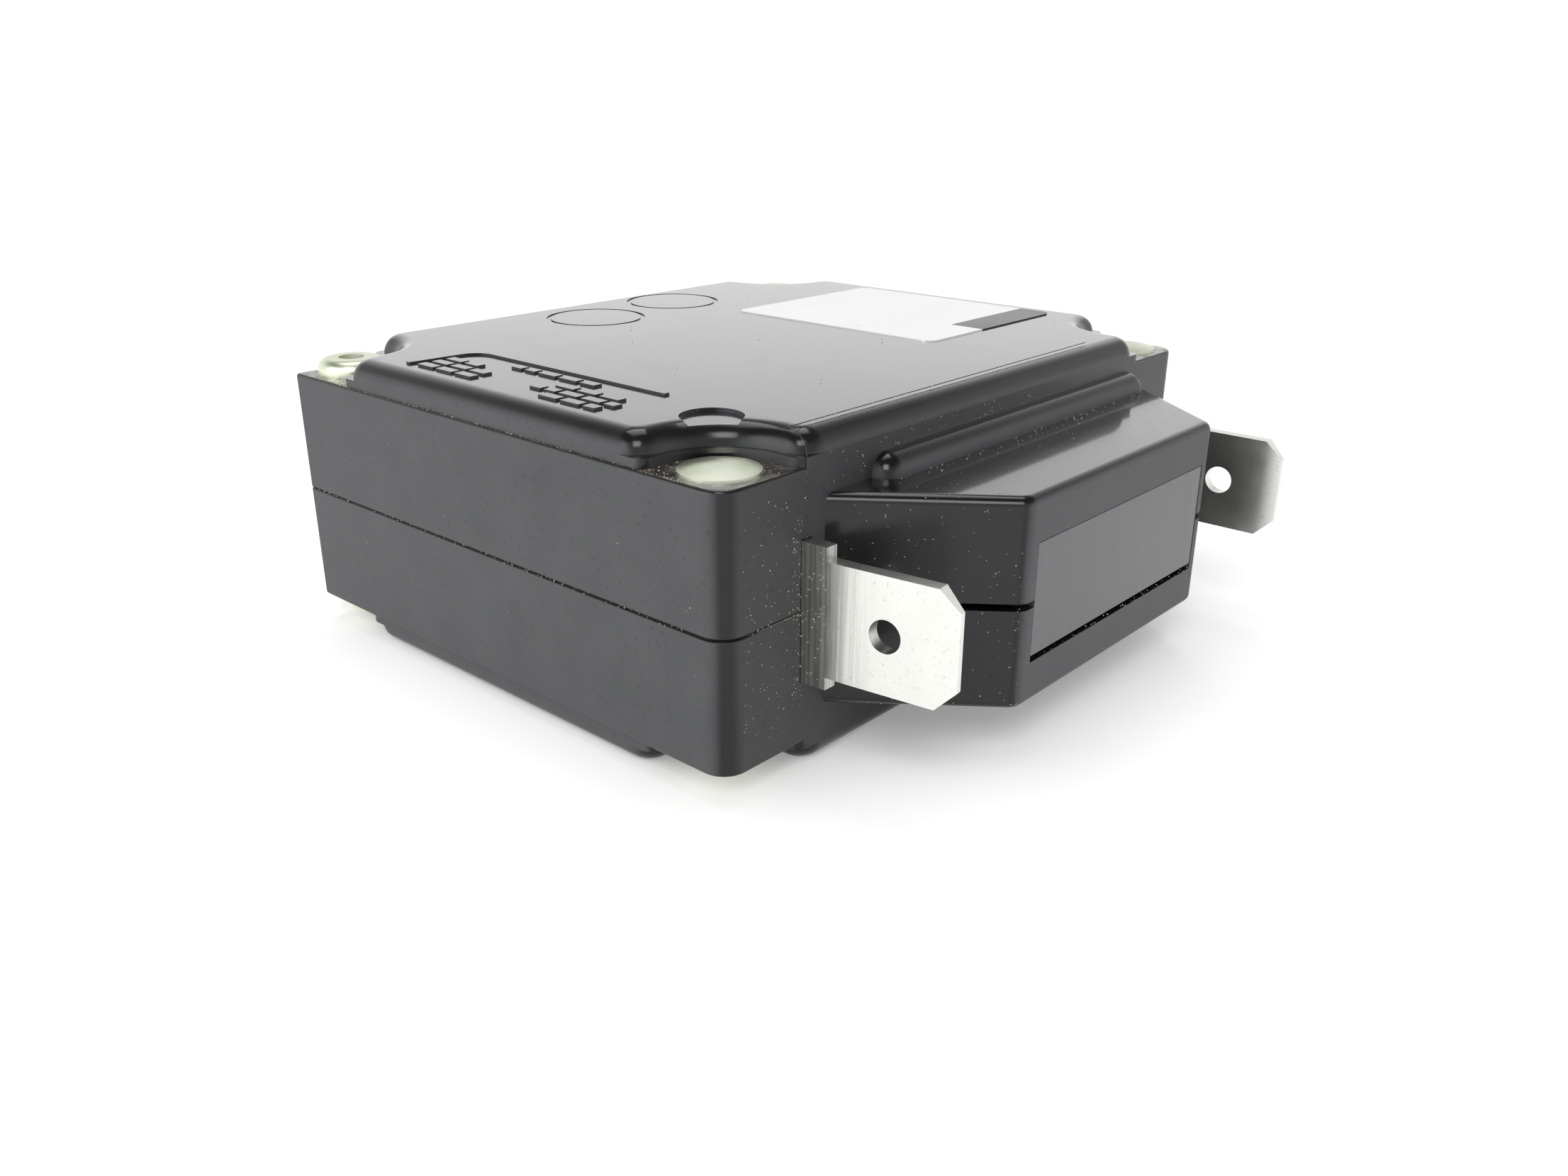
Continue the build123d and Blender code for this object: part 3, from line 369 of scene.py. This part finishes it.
finishes = {
    "case_black": black_moulding(),
    "plate_black": blanking_black(),
    "handle_black": handle_black(),
}
print("mouldings:", sorted(finishes))

# %% [markdown]
# ## Metals
#
# Most metals here are the same recipe with other numbers: a colour that drifts between two tones, a
# roughness that drifts with it, and fine scratches. Rolled sheet has long scratches in one
# direction, so its noise is drawn out along that axis. The tinned blades get a recipe of their own,
# because they are flecked all over and show upright lines only near the bend. Those lines also carry
# a painted shade that darkens the sheet towards its root at the wall.

# %% Metals
def metal(name, dull, bright, rough, grain_per_mm=2.0, stretch=(1, 1, 1), depth_mm=0.004):
    """Bare or plated metal with a drifting tone and fine directional scratches."""
    material, tree, shader, at = new_material(name, Metallic=1.0)
    drift = noise(tree, at, 0.5, 3.0)
    scratch = noise(tree, at, grain_per_mm, 3.0, stretch)
    tone = between(tree, math_node(tree, "ADD", drift, scratch), 0.75, 1.25)
    tree.links.new(mix_colour(tree, tone, dull, bright), shader.inputs["Base Color"])
    tree.links.new(between(tree, scratch, 0.3, 0.7, rough * 0.75, rough * 1.3), shader.inputs["Roughness"])
    bump(tree, shader, scratch, 0.6, depth_mm)
    return material


def tin_plate():
    """Bright tinned sheet: flecked all over, with fine upright lines where the sheet is bent, and a painted
    shade that darkens it towards its root at the wall.
    """
    material, tree, shader, at = new_material("tin_plate", Metallic=1.0)
    place = add(tree, "ShaderNodeSeparateXYZ", {0: at.outputs["Object"]})
    near_bend = between(tree, place.outputs["Y"], REAR_WALL_Y + 1.2 * MM, REAR_WALL_Y + 5.0 * MM, 1.0, 0.0)
    drift = noise(tree, at, 0.6, 4.0)
    fleck = between(tree, noise(tree, at, 5.0, 3.0), 0.60, 0.74, 0.0, 0.7)
    tint = mix_colour(tree, drift, (0.76, 0.77, 0.73), (0.86, 0.86, 0.82))
    tint = mix_colour(tree, fleck, tint, (0.52, 0.53, 0.49))
    lines = noise(tree, at, 6.0, 2.0, (1, 1, 0.02))
    # The upright lines are real bend marks, and they also carry painted shade that darkens the sheet
    # towards its root at the wall.
    dull = math_node(tree, "MULTIPLY", near_bend, between(tree, lines, 0.35, 0.65, 0.15, 0.75))
    tint = mix_colour(tree, dull, tint, (0.36, 0.37, 0.34))
    tree.links.new(tint, shader.inputs["Base Color"])
    tree.links.new(between(tree, drift, 0.3, 0.7, 0.28, 0.31), shader.inputs["Roughness"])
    bump(tree, shader, math_node(tree, "MULTIPLY", lines, near_bend), 0.5, 0.003)
    return material


finishes["tin_plate"] = tin_plate()
DRAWN_ALONG_X, DRAWN_ALONG_Y = (0.1, 1, 1), (1, 0.1, 1)
other_metals = {
    # name: dull tone, bright tone, roughness, scratches to a millimetre, how they are drawn, depth
    "nickel_plate": ((0.78, 0.83, 0.64), (0.88, 0.91, 0.77), 0.40, 0.4, (1, 1, 1), 0.0004),
    "brass": ((0.62, 0.44, 0.18), (0.86, 0.66, 0.32), 0.28, 4.0),
    "steel": ((0.42, 0.42, 0.42), (0.62, 0.62, 0.61), 0.32, 4.0, DRAWN_ALONG_Y),
    "spring_steel": ((0.30, 0.30, 0.31), (0.52, 0.52, 0.53), 0.26, 6.0),
    "copper": ((0.66, 0.28, 0.16), (0.93, 0.50, 0.34), 0.30, 5.0, (1, 0.15, 1)),
    "silver": ((0.72, 0.71, 0.69), (0.93, 0.92, 0.90), 0.26, 3.0),
    "iron": ((0.28, 0.28, 0.29), (0.46, 0.46, 0.47), 0.4, 3.0, DRAWN_ALONG_X),
}
for name, recipe in other_metals.items():
    finishes[name] = metal(name, *recipe)
print("metals: tin_plate", *other_metals)

# %% [markdown]
# ## Foil, nylon, fibre and wire enamel
#
# What is left is not metal, or only looks like it. The side label is a thin bright foil that is
# blank. The bobbin is natural nylon, slightly waxy. The arc chute's sides are vulcanised fibre,
# and the wire is copper under clear brown enamel, which the coat layer gives.

# %% Other finishes
label_low, label_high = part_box("side_label")
BAND_WIDTH, BAND_LENGTH, BAND_SOFT = 2.6 * MM, 9.0 * MM, 0.1 * MM


def foil():
    """Blank satin foil with faint rolling lines, and a plain dark band along its rear edge."""
    material, tree, shader, at = new_material("label_foil", Metallic=0.6)
    place = add(tree, "ShaderNodeSeparateXYZ", {0: at.outputs["Object"]})
    lines = noise(tree, at, 0.25, 1.0, (0.3, 1, 1))
    silver = mix_colour(tree, lines, (0.84, 0.84, 0.84), (0.93, 0.93, 0.93))
    band_y = label_high.y - BAND_WIDTH
    rearward = between(tree, place.outputs["Y"], band_y - BAND_SOFT / 2, band_y + BAND_SOFT / 2)
    end_x = label_low.x + BAND_LENGTH
    lineward = between(tree, place.outputs["X"], end_x, end_x + BAND_SOFT, 1.0, 0.0)
    band = math_node(tree, "MULTIPLY", rearward, lineward)
    tree.links.new(mix_colour(tree, band, silver, (0.012, 0.012, 0.013)), shader.inputs["Base Color"])
    tree.links.new(between(tree, lines, 0.3, 0.7, 0.22, 0.3), shader.inputs["Roughness"])
    return material


def plain(name, dark, light, rough, fleck_per_mm, coat=0.0, metallic=0.0, stretch=(1, 1, 1)):
    """A non-metal, or enamelled wire, with a drifting tone and a fine surface."""
    material, tree, shader, at = new_material(name, Coat_Weight=coat, Coat_Roughness=0.1, Metallic=metallic)
    tone = noise(tree, at, fleck_per_mm, 3.0, stretch)
    tree.links.new(mix_colour(tree, tone, dark, light), shader.inputs["Base Color"])
    tree.links.new(between(tree, tone, 0.3, 0.7, rough * 0.8, rough * 1.2), shader.inputs["Roughness"])
    bump(tree, shader, noise(tree, at, fleck_per_mm * 3), 0.3, 0.008)
    return material


finishes["label_foil"] = foil()
finishes["nylon"] = plain("nylon", (0.62, 0.60, 0.52), (0.78, 0.76, 0.69), 0.42, 0.6)
finishes["fibre"] = plain(
    "fibre", (0.20, 0.045, 0.03), (0.34, 0.09, 0.055), 0.7, 2.0, stretch=DRAWN_ALONG_Y)
finishes["enamel_wire"] = plain(
    "enamel_wire", (0.34, 0.10, 0.03), (0.60, 0.22, 0.08), 0.3, 1.2, coat=0.8, metallic=0.7)
dust_tan = plain("dust_tan", (0.30, 0.25, 0.17), (0.62, 0.56, 0.42), 0.9, 4.0)
print("finishes:", len(finishes) + 1)

# %% [markdown]
# ## Smooth-shaded copies of the solids
#
# A solid arrives as loose triangles, flat shaded, and a polished rounding would show its facets.
# We leave the solid itself alone and finish a copy: weld the corners, smooth the shading wherever
# two faces meet at a shallow angle, and let Weighted Normal keep the big flat faces flat. The copy
# rides on the same body and stands for the solid. The blades go without Weighted Normal, because
# the load blade's gentle bend is only a few facets long and would show as bands.

# %% Smooth copies
SHALLOW = math.radians(32)
WELD = 0.002 * MM


def slot_of(node):
    """The record's material slot of a node."""
    return next(s["material_slot"] for s in frame["record"]["subparts"] if s["node"] == node)


def plain_mesh(piece, name):
    """The evaluated result of a piece's modifiers, as a plain mesh, with the modifiers gone."""
    seen_now = bpy.context.evaluated_depsgraph_get()
    result = bpy.data.meshes.new_from_object(piece.evaluated_get(seen_now))
    piece.modifiers.clear()
    piece.data = result
    result.name = name
    return result


def smooth_copy(node, flat_faces=True):
    """A welded, smooth-shaded copy of a solid, in its finish, standing for it."""
    welded = bmesh.new()
    welded.from_mesh(nodes[node].data)
    bmesh.ops.remove_doubles(welded, verts=welded.verts, dist=WELD)
    for face in welded.faces:
        face.smooth = True
        face.material_index = 0
    for edge in welded.edges:
        edge.smooth = len(edge.link_faces) == 2 and edge.calc_face_angle(math.pi) < SHALLOW
    mesh = bpy.data.meshes.new(node + "_skin")
    welded.to_mesh(mesh)
    welded.free()
    if "custom_normal" in mesh.attributes:
        mesh.attributes.remove(mesh.attributes["custom_normal"])
    piece = bpy.data.objects.new(node + "_skin", mesh)
    bpy.context.scene.collection.objects.link(piece)
    if flat_faces:
        weigh = piece.modifiers.new("flat faces stay flat", "WEIGHTED_NORMAL")
        weigh.keep_sharp = True
    mesh = plain_mesh(piece, node + "_skin")
    mesh.materials.clear()
    mesh.materials.append(finishes[slot_of(node)])
    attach(piece, nodes[node]["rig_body"])
    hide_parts(node)
    return piece


made_another_way = {"coil_winding"}
softly_bent = {"load_terminal", "line_terminal"}
skins = {
    node: smooth_copy(node, flat_faces=node not in softly_bent)
    for node in sorted(nodes) if node not in made_another_way
}
print("skins:", len(skins), "triangles:", sum(len(s.data.polygons) for s in skins.values()))

# %% [markdown]
# ## The coil, turn by turn
#
# The magnet's winding is one layer of enamelled wire round the bobbin. A spiral curve with equal
# start and end radius is a helix, and a round profile swept along it is the wire. Geometry Nodes
# make it, with the sizes as named inputs, so the same tree would wind any other coil. The tree
# ends by making its result real and giving it its material, because an exporter sees only that.

# %% A Geometry Nodes starter
def new_tree(name, sizes):
    """An empty Geometry Nodes tree with number inputs. Returns it, its inputs and its output node."""
    tree = bpy.data.node_groups.new(name, "GeometryNodeTree")
    tree.interface.new_socket("Geometry", in_out="INPUT", socket_type="NodeSocketGeometry")
    tree.interface.new_socket("Geometry", in_out="OUTPUT", socket_type="NodeSocketGeometry")
    for size_name, kind in sizes.items():
        tree.interface.new_socket(size_name, in_out="INPUT", socket_type="NodeSocket" + kind)
    return tree, add(tree, "NodeGroupInput"), add(tree, "NodeGroupOutput")


def end_tree(tree, output, geometry, material):
    """Makes the result real, gives it its material and wires it to the output."""
    real = add(tree, "GeometryNodeRealizeInstances", {0: geometry})
    painted = add(tree, "GeometryNodeSetMaterial", {0: real.outputs[0]})
    painted.inputs["Material"].default_value = material
    tree.links.new(painted.outputs[0], output.inputs[0])


def grown(name, mesh, tree, values):
    """Runs a tree on a mesh with these values, and hands back a plain mesh object."""
    piece = bpy.data.objects.new(name, mesh)
    bpy.context.scene.collection.objects.link(piece)
    modifier = piece.modifiers.new(name, "NODES")
    modifier.node_group = tree
    inputs = [item for item in tree.interface.items_tree if item.in_out == "INPUT"]
    sockets = {item.name: item.identifier for item in inputs}
    for size_name, value in values.items():
        modifier[sockets[size_name]] = value
    plain_mesh(piece, name)
    print(name, "faces", len(piece.data.polygons))
    return piece


# %% Wind the coil
STEPS_A_TURN, WIRE_SIDES = 28, 10


def winding_tree():
    """Wire of a given radius, wound in a given number of turns along Z."""
    tree, given, output = new_tree("winding", {
        "Turns": "Float", "Coil Radius": "Float", "Length": "Float", "Wire Radius": "Float"})
    spiral = add(tree, "GeometryNodeCurveSpiral", {
        "Resolution": STEPS_A_TURN, "Rotations": given.outputs["Turns"],
        "Start Radius": given.outputs["Coil Radius"], "End Radius": given.outputs["Coil Radius"],
        "Height": given.outputs["Length"]})
    section = add(tree, "GeometryNodeCurvePrimitiveCircle", {
        "Resolution": WIRE_SIDES, "Radius": given.outputs["Wire Radius"]})
    wire = add(tree, "GeometryNodeCurveToMesh", {
        "Curve": spiral.outputs[0], "Profile Curve": section.outputs[0], "Fill Caps": True})
    smooth = add(tree, "GeometryNodeSetShadeSmooth", {0: wire.outputs[0]})
    end_tree(tree, output, smooth.outputs[0], finishes["enamel_wire"])
    return tree


WIRE_R = 0.55 * MM
TURN_SPACING = 2.02      # in wire radii, so that neighbouring turns just miss each other
coil_low, coil_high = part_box("coil_winding")
coil_radius = (coil_high.z - coil_low.z) / 2
coil_length = coil_high.x - coil_low.x - 2 * WIRE_R
turns = math.floor(coil_length / (TURN_SPACING * WIRE_R))
winding = grown("coil_winding_turns", bpy.data.meshes.new("winding"), winding_tree(), {
    "Turns": float(turns), "Coil Radius": coil_radius - WIRE_R,
    "Length": coil_length, "Wire Radius": WIRE_R})
first_turn = (coil_low.x + WIRE_R, (coil_low.y + coil_high.y) / 2, (coil_low.z + coil_high.z) / 2)
along_x = Matrix.Rotation(math.pi / 2, 4, "Y")
winding.data.transform(Matrix.Translation(first_turn) @ along_x)
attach(winding, "case")
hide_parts("coil_winding")
print("turns", turns, "on a length of", round(coil_length / MM, 2), "mm")

# %% [markdown]
# ## Dust
#
# A part from the shelf has pale grains along its ledges, in the seam and round the blade. Each
# patch below is a small sheet that lies on the surface, with how many grains a square millimetre
# gets. The tree scatters points on the sheets, puts a tiny low ball on each, turned and scaled at
# random from a fixed seed, and the sheets themselves are dropped. Seams and ledges catch the most.

# %% Patches that hold dust
def patch(corner, first_edge, second_edge, per_mm2):
    """One sheet, in millimetres: a corner, its two edges and the grains to a square millimetre."""
    return Vector(corner), Vector(first_edge), Vector(second_edge), per_mm2


X_END, Y_REAR, Z_LAND = end_wall_x / MM, REAR_WALL_Y / MM, LAND_Z / MM
Y_BLOCK, Z_BLOCK, Z_FIELD = block_rear_y / MM, BLOCK_TOP_Z / MM, FIELD_Z / MM
BLOCK_MIDDLE_X, BLOCK_ROOT, BLOCK_TIP = -1.1, 16.7, 10.35
FIELD_EDGE_R = 1.25
FLASH_START_X, FLASH_X, FLASH_Y = -12, X_END - 6.0, Y_REAR - FIELD_EDGE_R
WALL_LENGTH = Y_REAR - 3
SCALLOP_X = X_END - 5        # the corner scallops reach this far in
tab_high_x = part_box("load_terminal")[1].x / MM
block_slope = Vector((BLOCK_TIP - BLOCK_ROOT, Y_BLOCK - Y_REAR, 0))

seams = [
    patch((X_END, 1, -0.1), (0, WALL_LENGTH, 0), (0, 0, 0.2), 14),
    patch((X_END - 1.6, Y_REAR, -0.1), (-3.6, 0, 0), (0, 0, 0.2), 14),
]
ledges = [
    patch((X_END - 0.35, 1, Z_LAND), (0.25, 0, 0), (0, WALL_LENGTH, 0), 24),
    patch((SCALLOP_X, Y_REAR - 5.5, Z_LAND), (4.6, 0, 0), (0, 5.2, 0), 9),
    patch((SCALLOP_X, 0.6, Z_LAND), (4.6, 0, 0), (0, 4.6, 0), 7),
]
along_hairline = [
    patch((FLASH_START_X, FLASH_Y - 0.08, Z_FIELD), (FLASH_X - FLASH_START_X, 0, 0), (0, 0.16, 0), 14),
    patch((FLASH_X - 0.1, Y_REAR, -3), (0.2, 0, 0), (0, 0, 11), 16),
]
rear_wall = [
    patch((-14, Y_REAR, Z_BLOCK + 0.3), (30, 0, 0), (0, 0, 1.9), 2.2),
    patch((X_END - 5.8, Y_REAR, -5.5), (0.8, 0, 0), (0, 0, 11), 14),
    patch((X_END - 4.8, Y_REAR, -6.5), (3.4, 0, 0), (0, 0, 13), 2.6),
]
block_root = (BLOCK_MIDDLE_X + BLOCK_ROOT, Y_REAR, -Z_BLOCK)
rear_block = [
    patch(block_root, block_slope, (0, 0, 2 * Z_BLOCK), 1.5),
    patch((-16, Y_REAR + 1.1, Z_BLOCK + 0.02), (31, 0, 0), (0, 0.9, 0), 3.5),
    patch((-12, Y_REAR + 2, Z_BLOCK), (24, 0, 0), (0, Y_BLOCK - Y_REAR - 3, 0), 0.5),
]
elsewhere = [
    patch((X_END, 1, -Z_LAND), (0, WALL_LENGTH, 0), (0, 0, 2 * Z_LAND), 0.03),
    patch((tab_high_x, Y_REAR + 0.1, -3.6), (0, 1.5, 0), (0, 0, 7.2), 5),
    patch((-18, 3, Z_FIELD), (38, 0, 0), (0, 32, 0), 0.02),
    patch((BLOCK_MIDDLE_X - BLOCK_TIP, Y_BLOCK, -3.4), (2 * BLOCK_TIP, 0, 0), (0, 0, 0.25), 9),
]
patches = seams + ledges + along_hairline + rear_wall + rear_block + elsewhere


def patch_mesh(found):
    """All the sheets as one mesh, with the grain count kept on each face."""
    points, faces, counts = [], [], []
    for corner, one, two, per_mm2 in found:
        start = len(points)
        points += [corner, corner + one, corner + one + two, corner + two]
        faces.append(tuple(range(start, start + 4)))
        counts.append(per_mm2 / MM ** 2)
    mesh = bpy.data.meshes.new("dust_sheets")
    mesh.from_pydata([p * MM for p in points], [], faces)
    density = mesh.attributes.new("grains", "FLOAT", "FACE")
    density.data.foreach_set("value", counts)
    return mesh


# %% Scatter the grains
GRAIN_SHAPES = (0.6, 0.6, 0.4), (1.5, 1.0, 0.8)   # from squat to long
WHOLE_TURN = 6.3


def dust_tree():
    """Tiny balls on every sheet, as many as its face says."""
    tree, given, output = new_tree("dust", {"Seed": "Int", "Smallest": "Float", "Largest": "Float"})
    count = add(tree, "GeometryNodeInputNamedAttribute", {"Name": "grains"}, data_type="FLOAT")
    points = add(tree, "GeometryNodeDistributePointsOnFaces", {
        "Mesh": given.outputs["Geometry"], "Density": count.outputs[0], "Seed": given.outputs["Seed"]})
    grain = add(tree, "GeometryNodeMeshIcoSphere", {"Radius": 1.0, "Subdivisions": 1})
    size = add(tree, "FunctionNodeRandomValue", {
        2: given.outputs["Smallest"], 3: given.outputs["Largest"], "Seed": given.outputs["Seed"]})
    shape, turn = (
        add(tree, "FunctionNodeRandomValue", {0: low, 1: high}, data_type="FLOAT_VECTOR")
        for low, high in (GRAIN_SHAPES, ((0, 0, 0), (WHOLE_TURN,) * 3)))
    scale = add(tree, "ShaderNodeVectorMath", {0: shape.outputs[0]}, operation="SCALE")
    tree.links.new(size.outputs[1], scale.inputs["Scale"])
    placed = add(tree, "GeometryNodeInstanceOnPoints", {
        "Points": points.outputs["Points"], "Instance": grain.outputs["Mesh"],
        "Rotation": turn.outputs[0], "Scale": scale.outputs[0]})
    end_tree(tree, output, placed.outputs[0], dust_tan)
    return tree


dust = grown("dust_grains", patch_mesh(patches), dust_tree(), {
    "Seed": 7, "Smallest": 0.014 * MM, "Largest": 0.050 * MM})
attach(dust, "case")

# %% [markdown]
# ## The hairline left by the mould
#
# Where two steel inserts of the mould met, the moulding keeps a raised hairline. It runs along the
# top where the field starts to round off, turns down over the rounding and carries on down the
# rear wall. The route is straight, a quarter circle, straight, so a short rule gives its points,
# and Geometry Nodes sweep a tiny round section along it.

# %% Hairline
HAIR_R, HAIR_SIDES = 0.028 * MM, 6
QUARTER_STEPS = 10
DOWN_THE_WALL = (6.0, 3.0, 0.15)


def hairline_route():
    """Points along the field's edge, over the rounding and down the rear wall, in millimetres."""
    steps_along = range(int(FLASH_X - FLASH_START_X))
    points = [(FLASH_START_X + i, FLASH_Y, Z_FIELD) for i in steps_along]
    for step in range(QUARTER_STEPS + 1):
        turn = math.pi / 2 * step / QUARTER_STEPS
        y = FLASH_Y + FIELD_EDGE_R * math.sin(turn)
        z = Z_FIELD - FIELD_EDGE_R + FIELD_EDGE_R * math.cos(turn)
        points.append((FLASH_X, y, z))
    return points + [(FLASH_X, Y_REAR, z) for z in DOWN_THE_WALL]


def hairline_tree():
    """A round section swept along the edges of a wire mesh."""
    tree, given, output = new_tree("hairline", {"Radius": "Float"})
    line = add(tree, "GeometryNodeMeshToCurve", {0: given.outputs["Geometry"]})
    section = add(tree, "GeometryNodeCurvePrimitiveCircle", {
        "Resolution": HAIR_SIDES, "Radius": given.outputs["Radius"]})
    hair = add(tree, "GeometryNodeCurveToMesh", {
        "Curve": line.outputs[0], "Profile Curve": section.outputs[0], "Fill Caps": True})
    end_tree(tree, output, hair.outputs[0], finishes["case_black"])
    return tree


route = [Vector(p) * MM for p in hairline_route()]
route_mesh = bpy.data.meshes.new("hairline_route")
route_mesh.from_pydata(route, [(i, i + 1) for i in range(len(route) - 1)], [])
hairline = grown("mould_hairline", route_mesh, hairline_tree(), {"Radius": HAIR_R})
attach(hairline, "case")
